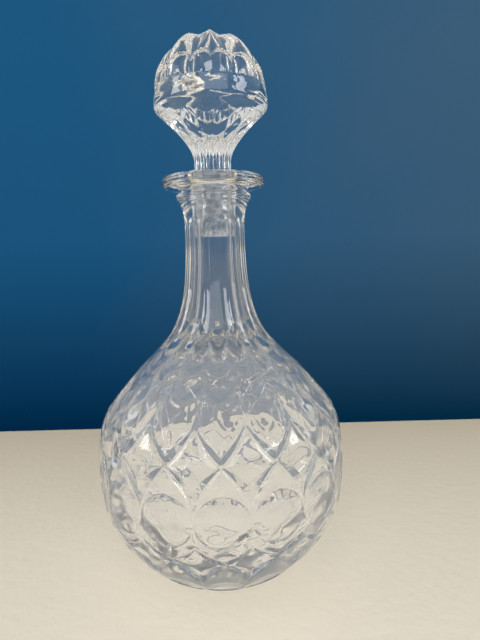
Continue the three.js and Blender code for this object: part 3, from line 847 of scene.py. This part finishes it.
class StopperForm:
    """The stopper's formulas, from its sizes."""

    def __init__(self, sizes):
        self.girdle = sizes.girdle_radius / MM
        self.table = sizes.table_radius / MM
        self.bulge = sizes.petal_bulge / MM
        self.flute = sizes.cone_flute_depth / MM
        self.window = sizes.window_depth / MM
        self.notch = sizes.notch_depth / MM
        self.turn = sizes.turn
        self.crown_foot = self.girdle - BAND_TAPER
        flat = self.table / self.crown_foot
        self.crown_height = (TABLE - PETAL_FOOT) / math.sqrt(1 - flat ** 2)
        self.stem = plug_radius(LIP_TOP) + STEM_STEP
        self.cone_head = self.girdle - GIRDLE_ROUND
        self.cone = bezier([
            (self.stem, STEM_TOP), (self.stem, blend(STEM_TOP, CONE_TOP, CONE_UP_FOOT)),
            (blend(self.stem, self.cone_head, CONE_IN), blend(STEM_TOP, CONE_TOP, CONE_UP_HEAD)),
            (self.cone_head, CONE_TOP)])

    def window_depth(self, z, angles):
        """Arched windows under the petals, two to each, with a rib at either side."""
        across = 1 - share_at(angles, 2 * PETALS)
        top = PETAL_FOOT + WINDOW_HEIGHT - WINDOW_ARCH * (1 - np.sqrt(1 - across ** 2))
        return self.window * (1 - across ** 2) * np.clip((top - z) / WINDOW_EDGE, 0, 1)

    def crown_ring(self, z):
        """Dome with a petal on each side of the table and flat stars between the petals."""
        up = (z - PETAL_FOOT) / self.crown_height
        dome = self.crown_foot * math.sqrt(max(0.0, 1 - up ** 2))
        down = part_way(z, TABLE, PETAL_CORNER)
        edge = blend(PETAL_AT_TABLE, PETAL_AT_CORNER, down)
        bulge = self.bulge * math.sqrt(down)
        star = (dome - bulge) * math.cos((1 - edge) * HALF_PETAL)
        soft = PETAL_ROUND / (dome * HALF_PETAL)
        marks = [0.0, edge - min(soft, 0.4 * edge), edge + min(soft, 0.4 * (1 - edge)), 1.0]
        angles = mirrored_angles(PETALS, steps_between(marks, PETAL_STEPS))
        share = share_at(angles, PETALS)
        petal = dome - bulge * (share / edge) ** 2
        flat = star / np.cos((1 - share) * HALF_PETAL)
        radii = np.where(share > edge, flat, petal) - self.window_depth(z, angles)
        points = ring(angles, z, radii)
        near_table = part_way(z, TABLE - NOTCH_HEIGHT, TABLE)
        points[:, 2] -= self.notch * share ** 0.8 * near_table ** 1.5
        return points

    def cone_ring(self, z):
        """Flutes of the stem and the cone, which deepen upwards and end in an arch."""
        angles = even_angles(STOPPER_POINTS)
        bow = 1 - (1 - share_at(angles, 2 * PETALS)) ** 2
        depth = blend(STEM_FLUTE, self.flute, part_way(z, STEM_TOP, CONE_FLUTE_HEAD))
        head = CONE_FLUTE_HEAD - CONE_FLUTE_CURVE * (1 - bow)
        r = self.stem if z < STEM_TOP else float(radius_on(self.cone, z))
        return ring(angles, z, r - depth * bow * np.clip((head - z) / CONE_FLUTE_END, 0, 1))

    def plug_rings(self):
        """The tapered plug and the plain start of the stem."""
        profile = [(plug_radius(SEAT) + out, z) for out, z in PLUG_EDGE]
        profile += [(plug_radius(z), z) for z in (PLUG_MIDDLE, LIP_TOP)]
        profile.append((plug_radius(LIP_TOP), STEM_FOOT))
        return [ring(even_angles(STOPPER_POINTS), z, r) for r, z in profile]

    def girdle_rings(self):
        """The girdle's rounded foot and its band, with the swirls that pressing leaves."""
        angles = even_angles(STOPPER_POINTS)
        stack = []
        for t in np.linspace(0, 1, 8)[1:]:
            out = GIRDLE_ROUND * math.sin(t * math.pi / 2) ** 0.8
            stack.append(ring(angles, blend(CONE_TOP, GIRDLE, t), self.cone_head + out))
        for t in np.linspace(0, 1, 14)[1:]:
            z = blend(GIRDLE, BAND_TOP, t)
            swirl = sum(np.sin(count * angles + slant * z) for count, slant in BAND_SWIRLS)
            wave = BAND_WAVE * math.sin(math.pi * t) * (len(BAND_SWIRLS) + swirl)
            stack.append(ring(angles, z, self.girdle - BAND_TAPER * t ** 3 - wave))
        return stack

    def rings(self):
        """All rings, from the plug's foot up to the table."""
        stack = self.plug_rings()
        levels = steps_between([STEM_FOOT + 0.3, STEM_TOP, CONE_MIDDLE, CONE_TOP], [5, 20, 21])
        stack += [self.cone_ring(z) for z in levels]
        stack += self.girdle_rings()
        dome = math.asin((TABLE - PETAL_FOOT) / self.crown_height)
        stack += [self.crown_ring(PETAL_FOOT + self.crown_height * math.sin(angle))
                  for angle in np.linspace(0, dome, 52, endpoint=False)]
        return stack + [self.crown_ring(TABLE)]


def sleeve_profile():
    """A thin tapered tube with four sealing ribs, whose flange rests on the lip."""
    profile = [(sleeve_radius(SEAT) + out, SEAT + up) for out, up in SLEEVE_FOOT]
    pitch = (LIP_TOP - SEAT) / (RIBS + 1)
    for k in range(1, RIBS + 1):
        for t in np.linspace(-1, 1, 9):
            z = SEAT + k * pitch + RIB_HALF * t
            bow = math.cos(t * math.pi / 2) ** 0.8
            profile.append((sleeve_radius(z) + RIB_STANDS_OUT * bow, z))
    profile += [(sleeve_radius(LIP_TOP - UNDER_FLANGE), LIP_TOP - UNDER_FLANGE),
                (sleeve_radius(LIP_TOP), LIP_TOP + FLANGE_UNDER)]
    profile += [(MOUTH + FLANGE + out, LIP_TOP + up) for out, up in FLANGE_EDGE]
    profile.append((sleeve_radius(LIP_TOP) - SLEEVE_INNER, LIP_TOP + FLANGE_TOP))
    return profile


# ---------------------------------------------------------------- materials

def wire(links, wires):
    """Links nodes, each wire given as (node, output, node, input)."""
    for start, output, end, inlet in wires:
        links.new(start.outputs[output], end.inputs[inlet])


def new_node(nodes, kind, values=None, **settings):
    """A node with its settings, and plain values on its inputs."""
    node = nodes.new(kind)
    for name, setting in settings.items():
        setattr(node, name, setting)
    for name, value in (values or {}).items():
        node.inputs[name].default_value = value
    return node


def new_material(name):
    """A material with its nodes and links."""
    material = bpy.data.materials.new(name)
    material.use_nodes = True
    return material, material.node_tree.nodes, material.node_tree.links


def fill_ramp(node, stops):
    """Sets a ramp's stops, the first and the last at its ends."""
    for place, _ in stops[1:-1]:
        node.color_ramp.elements.new(place)
    for element, (_, colour) in zip(node.color_ramp.elements, stops):
        element.color = colour


def mould_waves_group():
    """Node group: the slow ripples and the fine haze that a mould leaves on pressed glass."""
    name = "Mould waves"
    if name in bpy.data.node_groups:
        return bpy.data.node_groups[name]
    group = bpy.data.node_groups.new(name, "ShaderNodeTree")
    for label, default in (
            ("Wave scale", 60.0), ("Haze scale", 400.0), ("Haze", 0.5), ("Base", 0.0)):
        socket = group.interface.new_socket(label, in_out="INPUT", socket_type="NodeSocketFloat")
        socket.default_value = default
    for label in ("Height", "Roughness"):
        group.interface.new_socket(label, in_out="OUTPUT", socket_type="NodeSocketFloat")
    nodes, links = group.nodes, group.links
    inlet = nodes.new("NodeGroupInput")
    outlet = nodes.new("NodeGroupOutput")
    place = nodes.new("ShaderNodeTexCoord")
    waves = new_node(nodes, "ShaderNodeTexNoise", {"Detail": 4.0})
    haze = new_node(nodes, "ShaderNodeTexNoise", {"Detail": 4.0})
    spread = new_node(nodes, "ShaderNodeMapRange", {"From Min": 0.35, "From Max": 0.75})
    scaled = new_node(nodes, "ShaderNodeMath", operation="MULTIPLY_ADD")
    wire(links, [
        (place, "Object", waves, "Vector"),
        (place, "Object", haze, "Vector"),
        (inlet, "Wave scale", waves, "Scale"),
        (inlet, "Haze scale", haze, "Scale"),
        (haze, "Fac", spread, "Value"),
        (spread, "Result", scaled, 0),
        (inlet, "Haze", scaled, 1),
        (inlet, "Base", scaled, 2),
        (waves, "Fac", outlet, "Height"),
        (scaled, "Value", outlet, "Roughness"),
    ])
    return group


def mould_waves(nodes, links, scale, haze_scale, haze, roughness, strength, height):
    """The mould's waves and haze, put to the shader's normal and roughness."""
    shader = nodes["Principled BSDF"]
    waves = new_node(nodes, "ShaderNodeGroup", node_tree=mould_waves_group(), name="Mould waves")
    waves.inputs["Wave scale"].default_value = scale
    waves.inputs["Haze scale"].default_value = haze_scale
    waves.inputs["Haze"].default_value = haze
    waves.inputs["Base"].default_value = roughness
    bump = new_node(nodes, "ShaderNodeBump", {"Strength": strength, "Distance": height})
    wire(links, [
        (waves, "Height", bump, "Height"),
        (bump, "Normal", shader, "Normal"),
        (waves, "Roughness", shader, "Roughness"),
    ])
    return waves


def glass_material(name, finish, wave_scale, waviness, colour=None, clearness=1.0, haze=GLASS_HAZE):
    """Pressed glass, clear or with a film of a colour on it."""
    material, nodes, links = new_material(name)
    shader = nodes["Principled BSDF"]
    shader.inputs["Base Color"].default_value = colour or (*finish.glass_colour, 1)
    shader.inputs["Metallic"].default_value = 0.0
    shader.inputs["IOR"].default_value = GLASS_IOR
    shader.inputs["Transmission Weight"].default_value = clearness
    mould_waves(
        nodes, links, wave_scale, HAZE_SCALE, haze, finish.glass_roughness, waviness, WAVE_HEIGHT)
    let_light_through(material, GLASS_SHADOW)
    return material


def film_material(name, finish, clearness):
    """The inside of the globe, under a milky film whose roughness fades towards the neck."""
    material = glass_material(
        name, finish, BOTTLE_WAVES, finish.waviness, FILM_COLOUR, clearness, FILM_HAZE)
    nodes, links = material.node_tree.nodes, material.node_tree.links
    place = nodes.new("ShaderNodeTexCoord")
    split = nodes.new("ShaderNodeSeparateXYZ")
    fade = new_node(nodes, "ShaderNodeMapRange", {
        "From Min": FILM_FADE[0], "From Max": FILM_FADE[1],
        "To Min": FILM_END_ROUGHNESS, "To Max": finish.inside_haze})
    wire(links, [
        (place, "Object", split, "Vector"),
        (split, "Z", fade, "Value"),
        (fade, "Result", nodes["Mould waves"], "Base"),
    ])
    return material


def let_light_through(material, share):
    """Shadow rays pass through clear glass, which otherwise throws a black shadow."""
    nodes, links = material.node_tree.nodes, material.node_tree.links
    path = nodes.new("ShaderNodeLightPath")
    clear = new_node(nodes, "ShaderNodeBsdfTransparent", {"Color": (share, share, share, 1)})
    mix = nodes.new("ShaderNodeMixShader")
    wire(links, [
        (path, "Is Shadow Ray", mix, "Fac"),
        (nodes["Principled BSDF"], "BSDF", mix, 1),
        (clear, "BSDF", mix, 2),
        (mix, "Shader", nodes["Material Output"], "Surface"),
    ])


def sleeve_material(finish):
    """Clear plastic that has gone slightly milky, with fine specks."""
    material, nodes, links = new_material("Milky sleeve plastic")
    shader = nodes["Principled BSDF"]
    shader.inputs["Metallic"].default_value = 0.0
    shader.inputs["IOR"].default_value = PLASTIC_IOR
    shader.inputs["Transmission Weight"].default_value = PLASTIC_CLEARNESS
    waves = mould_waves(
        nodes, links, SPECK_SCALE, PLASTIC_HAZE_SCALE, PLASTIC_HAZE, finish.sleeve_roughness,
        PLASTIC_WAVINESS, PLASTIC_WAVE_HEIGHT)
    specks = new_node(nodes, "ShaderNodeMapRange", {
        "From Min": SPECK_RANGE[0], "From Max": SPECK_RANGE[1]})
    tint = new_node(nodes, "ShaderNodeMix", data_type="RGBA")
    tint.inputs["A"].default_value = (*finish.sleeve_colour, 1)
    tint.inputs["B"].default_value = (1.0, 1.0, 1.0, 1)
    wire(links, [
        (waves, "Height", specks, "Value"),
        (specks, "Result", tint, "Factor"),
        (tint, "Result", shader, "Base Color"),
    ])
    let_light_through(material, PLASTIC_SHADOW)
    return material


# ---------------------------------------------------------------- pieces

class CARAFE_OT_bottle(bpy.types.Operator):
    """Builds the bottle with its cut globe, fluted neck and lip"""

    bl_idname = "carafe.bottle"
    bl_label = "Build bottle"

    def execute(self, context):
        scene = context.scene
        finish = scene.carafe_finish
        form = BottleForm(scene.carafe_bottle)
        bottle = closed_skin("glass_bottle", form.rings(), RECESS, form.base)
        bottle.data.materials.append(glass_material(
            "Pressed bottle glass", finish, BOTTLE_WAVES, finish.waviness))
        for name, clearness, _ in FILM_STEPS:
            bottle.data.materials.append(film_material(name, finish, clearness))
        paint_inside(bottle.data, form)
        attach(bottle, "bottle")
        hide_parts("bottle")
        return {"FINISHED"}


class CARAFE_OT_stopper(bpy.types.Operator):
    """Builds the solid stopper with its petals, girdle, fluted cone and plug"""

    bl_idname = "carafe.stopper"
    bl_label = "Build stopper"

    def execute(self, context):
        scene = context.scene
        finish = scene.carafe_finish
        form = StopperForm(scene.carafe_stopper)
        stopper = closed_skin("glass_stopper", form.rings(), PLUG_FOOT, TABLE)
        stopper.data.transform(Matrix.Rotation(form.turn, 4, "Z"))
        stopper.data.materials.append(glass_material(
            "Polished stopper glass", finish, STOPPER_WAVES, finish.waviness * STOPPER_WAVINESS))
        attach(stopper, "stopper")
        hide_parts("stopper")
        return {"FINISHED"}


class CARAFE_OT_sleeve(bpy.types.Operator):
    """Builds the plastic sleeve that grips the plug in the neck"""

    bl_idname = "carafe.sleeve"
    bl_label = "Build sleeve"

    def execute(self, context):
        finish = context.scene.carafe_finish
        sleeve = turned_skin("plug_sleeve", sleeve_profile(), SLEEVE_POINTS, SLEEVE_CREASE)
        sleeve.data.materials.append(sleeve_material(finish))
        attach(sleeve, "sleeve")
        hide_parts("stopper_sleeve")
        return {"FINISHED"}


def paint_inside(mesh, form):
    """Gives the hollow's faces their film, which thins upwards in two scalloped steps."""
    for face in mesh.polygons:
        place = face.center / MM
        radius = math.hypot(place.x, place.y)
        if not form.base - 0.5 < place.z < HOLLOW_END:
            continue
        if radius > form.inside(place.z) + HOLLOW_REACH:
            continue
        share = float(share_at(math.atan2(place.x, -place.y), COLUMNS))
        for index, (_, _, top) in enumerate(FILM_STEPS, 1):
            if place.z < top + FILM_CURVE * share ** 2:
                face.material_index = index
                break


# ---------------------------------------------------------------- stage

def plain_sheet(name, corners, material):
    """A flat sheet of the stage."""
    mesh = bpy.data.meshes.new(name)
    mesh.from_pydata(corners, [], [(0, 1, 2, 3)])
    mesh.materials.append(material)
    sheet = add_to_scene(name, mesh)
    return sheet


def soft_lamp(name, place, width, height, watts):
    """A rectangular lamp that faces the carafe."""
    lamp = bpy.data.lights.new(name, "AREA")
    lamp.shape = "RECTANGLE"
    lamp.size = width
    lamp.size_y = height
    lamp.energy = watts
    holder = add_to_scene(name, lamp)
    holder.location = place
    facing = Vector(LAMP_AIM) - Vector(place)
    holder.rotation_euler = facing.to_track_quat("-Z", "Y").to_euler()
    return holder


def floor_material(colour):
    """Pale paint with a faint grain, and painted shade that makes it warmer and darker towards the
    wall.
    """
    material, nodes, links = new_material("Pale floor")
    shader = nodes["Principled BSDF"]
    shader.inputs["Roughness"].default_value = FLOOR_ROUGHNESS
    place = nodes.new("ShaderNodeTexCoord")
    split = nodes.new("ShaderNodeSeparateXYZ")
    # Painted shade: the colour darkens and warms from the front towards the wall, where less light
    # falls.
    depth = new_node(nodes, "ShaderNodeMapRange", {
        "From Min": FLOOR_PAINTED_SHADE_DEPTHS[0], "From Max": FLOOR_PAINTED_SHADE_DEPTHS[1]})
    shade = new_node(nodes, "ShaderNodeMix", data_type="RGBA")
    shade.inputs["A"].default_value = (*colour, 1)
    shade.inputs["B"].default_value = FLOOR_PAINTED_SHADE_COLOUR
    grain = new_node(nodes, "ShaderNodeTexNoise", {"Scale": GRAIN_SCALE, "Detail": 6.0})
    bump = new_node(nodes, "ShaderNodeBump", {
        "Strength": GRAIN_STRENGTH, "Distance": GRAIN_HEIGHT})
    wire(links, [
        (place, "Object", split, "Vector"),
        (split, "Y", depth, "Value"),
        (depth, "Result", shade, "Factor"),
        (shade, "Result", shader, "Base Color"),
        (place, "Object", grain, "Vector"),
        (grain, "Fac", bump, "Height"),
        (bump, "Normal", shader, "Normal"),
    ])
    return material


def wall_material(colour):
    """Glowing colour from the front, with painted shade at the foot and painted light towards the
    top and the right, and nothing from behind.
    """
    material, nodes, links = new_material("Wall with painted light and shade")
    nodes.remove(nodes["Principled BSDF"])
    place = nodes.new("ShaderNodeTexCoord")
    split = nodes.new("ShaderNodeSeparateXYZ")
    height = new_node(nodes, "ShaderNodeMapRange", {"From Max": WALL_PAINTED_SHADE_TOP})
    # Painted shade at the wall's foot and painted light towards its top, by height.
    ramp = nodes.new("ShaderNodeValToRGB")
    fill_ramp(ramp, WALL_PAINTED_LIGHT_AND_SHADE)
    mottle = new_node(nodes, "ShaderNodeTexNoise", {"Scale": MOTTLE_SCALE, "Detail": 5.0})
    uneven = new_node(nodes, "ShaderNodeMath", {1: MOTTLE}, operation="MULTIPLY_ADD")
    # A paler tint towards the right: painted light across the wall, broken up by the mottling.
    right = new_node(nodes, "ShaderNodeMapRange", {"From Max": WALL_PAINTED_LIGHT_REACH})
    tint = new_node(nodes, "ShaderNodeMix", data_type="RGBA")
    tint.inputs["A"].default_value = (*colour, 1)
    tint.inputs["B"].default_value = WALL_PAINTED_LIGHT_COLOUR
    shade = new_node(nodes, "ShaderNodeMix", data_type="RGBA", blend_type="MULTIPLY")
    shade.inputs["Factor"].default_value = 1.0
    glow = nodes.new("ShaderNodeEmission")
    clear = nodes.new("ShaderNodeBsdfTransparent")
    side = nodes.new("ShaderNodeNewGeometry")
    mix = nodes.new("ShaderNodeMixShader")
    wire(links, [
        (place, "Object", split, "Vector"),
        (split, "Z", height, "Value"),
        (height, "Result", ramp, "Fac"),
        (place, "Object", mottle, "Vector"),
        (mottle, "Fac", uneven, 0),
        (split, "X", uneven, 2),
        (uneven, "Value", right, "Value"),
        (right, "Result", tint, "Factor"),
        (tint, "Result", shade, "A"),
        (ramp, "Color", shade, "B"),
        (shade, "Result", glow, "Color"),
        (side, "Backfacing", mix, "Fac"),
        (glow, "Emission", mix, 1),
        (clear, "BSDF", mix, 2),
        (mix, "Shader", nodes["Material Output"], "Surface"),
    ])
    return material


def build_world():
    """Soft warm light, seen as a grey room by the camera and in the glass."""
    world = bpy.data.worlds.new("Studio")
    bpy.context.scene.world = world
    world.use_nodes = True
    nodes, links = world.node_tree.nodes, world.node_tree.links
    nodes.clear()
    light = new_node(nodes, "ShaderNodeBackground", {
        "Color": ROOM_LIGHT, "Strength": ROOM_STRENGTH})
    seen = nodes.new("ShaderNodeBackground")
    place = nodes.new("ShaderNodeTexCoord")
    split = nodes.new("ShaderNodeSeparateXYZ")
    room = nodes.new("ShaderNodeValToRGB")
    fill_ramp(room, ROOM_GREYS)
    path = nodes.new("ShaderNodeLightPath")
    camera_or_gloss = new_node(nodes, "ShaderNodeMath", operation="MAXIMUM")
    or_glass = new_node(nodes, "ShaderNodeMath", operation="MAXIMUM")
    before_diffuse = new_node(nodes, "ShaderNodeMath", {1: 0.5}, operation="LESS_THAN")
    mask = new_node(nodes, "ShaderNodeMath", operation="MULTIPLY")
    mix = nodes.new("ShaderNodeMixShader")
    output = nodes.new("ShaderNodeOutputWorld")
    wire(links, [
        (place, "Generated", split, "Vector"),
        (split, "Z", room, "Fac"),
        (room, "Color", seen, "Color"),
        (path, "Is Camera Ray", camera_or_gloss, 0),
        (path, "Is Glossy Ray", camera_or_gloss, 1),
        (camera_or_gloss, "Value", or_glass, 0),
        (path, "Is Transmission Ray", or_glass, 1),
        (path, "Diffuse Depth", before_diffuse, 0),
        (or_glass, "Value", mask, 0),
        (before_diffuse, "Value", mask, 1),
        (mask, "Value", mix, "Fac"),
        (light, "Background", mix, 1),
        (seen, "Background", mix, 2),
        (mix, "Shader", output, "Surface"),
    ])


def build_walls(stage):
    """The wall, and a wider sheet beyond it that only the camera sees."""
    paint = wall_material(stage.wall_colour)
    for name, wide, high, behind in WALLS:
        far = stage.wall_distance + behind
        wall = plain_sheet(name, [
            (-wide, far, WALL_FOOT), (wide, far, WALL_FOOT), (wide, far, high),
            (-wide, far, high)], paint)
        wall.matrix_world = STAGE_TURN
        wall.visible_shadow = False
        if behind:
            wall.visible_diffuse = False
            wall.visible_glossy = False
            wall.visible_transmission = False


def build_lamps(power):
    """Large soft lamps, and narrow ones that glint in the glass as window panes do."""
    for name, place, wide, high, watts in LAMPS:
        lamp = soft_lamp(name, place, wide, high, watts * power)
        lamp.visible_transmission = False
        lamp.visible_glossy = name != "top_lamp"
    for name, place in PANES:
        soft_lamp(name, place, PANE_WIDTH, PANE_HEIGHT, PANE_WATTS * power)


def build_camera():
    """Stands as the photograph was taken: close, above the shoulder, and slightly rolled."""
    data = bpy.data.cameras.new("Camera")
    data.sensor_fit = "VERTICAL"
    data.sensor_height = SENSOR_HEIGHT
    data.lens = SENSOR_HEIGHT * FOCAL_SHARE
    data.clip_start = 0.01
    camera = add_to_scene("Camera", data)
    facing = Matrix.Rotation(math.pi / 2 - CAMERA_PITCH, 4, "X")
    roll = Matrix.Rotation(-CAMERA_ROLL, 4, "Z")
    camera.matrix_world = STAGE_TURN @ Matrix.Translation(CAMERA_PLACE) @ facing @ roll
    bpy.context.scene.camera = camera


class CARAFE_OT_stage(bpy.types.Operator):
    """Sets up the pale floor, the plain wall, the soft lamps and the camera"""

    bl_idname = "carafe.stage"
    bl_label = "Build stage"

    def execute(self, context):
        scene = context.scene
        stage = scene.carafe_stage
        scene.view_settings.view_transform = "Standard"
        scene.cycles.max_bounces = 28
        scene.cycles.transmission_bounces = 24
        scene.cycles.glossy_bounces = 10
        scene.cycles.transparent_max_bounces = 12
        far = FLOOR_HALF
        corners = [(-far, -far, 0), (far, -far, 0), (far, far, 0), (-far, far, 0)]
        floor = plain_sheet("floor", corners, floor_material(stage.floor_colour))
        floor.location.z = -FLOOR_DROP
        build_walls(stage)
        build_lamps(stage.lamp_strength)
        build_world()
        build_camera()
        return {"FINISHED"}


# ---------------------------------------------------------------- add-on

class CARAFE_PT_panel(bpy.types.Panel):
    """Lists the carafe's sizes, finishes and steps"""

    bl_idname = "CARAFE_PT_panel"
    bl_label = "Glass Carafe"
    bl_space_type = "VIEW_3D"
    bl_region_type = "UI"
    bl_category = "Carafe"

    def draw(self, context):
        layout = self.layout
        scene = context.scene
        for group, step in [
            (scene.carafe_bottle, CARAFE_OT_bottle), (scene.carafe_stopper, CARAFE_OT_stopper),
            (scene.carafe_finish, CARAFE_OT_sleeve), (scene.carafe_stage, CARAFE_OT_stage),
        ]:
            box = layout.box()
            for name in group.bl_rna.properties.keys():
                if name not in ("rna_type", "name"):
                    box.prop(group, name)
            box.operator(step.bl_idname)


CLASSES = (
    CarafeBottleSizes, CarafeStopperSizes, CarafeFinish, CarafeStage,
    CARAFE_OT_bottle, CARAFE_OT_stopper, CARAFE_OT_sleeve, CARAFE_OT_stage, CARAFE_PT_panel,
)


def register():
    """Makes the classes known to Blender, and gives the scene its settings."""
    for cls in CLASSES:
        bpy.utils.register_class(cls)
    bpy.types.Scene.carafe_bottle = bpy.props.PointerProperty(type=CarafeBottleSizes)
    bpy.types.Scene.carafe_stopper = bpy.props.PointerProperty(type=CarafeStopperSizes)
    bpy.types.Scene.carafe_finish = bpy.props.PointerProperty(type=CarafeFinish)
    bpy.types.Scene.carafe_stage = bpy.props.PointerProperty(type=CarafeStage)


def unregister():
    """Takes back what register did."""
    for name in ("carafe_stage", "carafe_finish", "carafe_stopper", "carafe_bottle"):
        delattr(bpy.types.Scene, name)
    for cls in reversed(CLASSES):
        bpy.utils.unregister_class(cls)


def main():
    """Builds the carafe on its stage."""
    register()
    bpy.ops.carafe.bottle()
    bpy.ops.carafe.stopper()
    bpy.ops.carafe.sleeve()
    bpy.ops.carafe.stage()


if __name__ == "__main__":
    main()
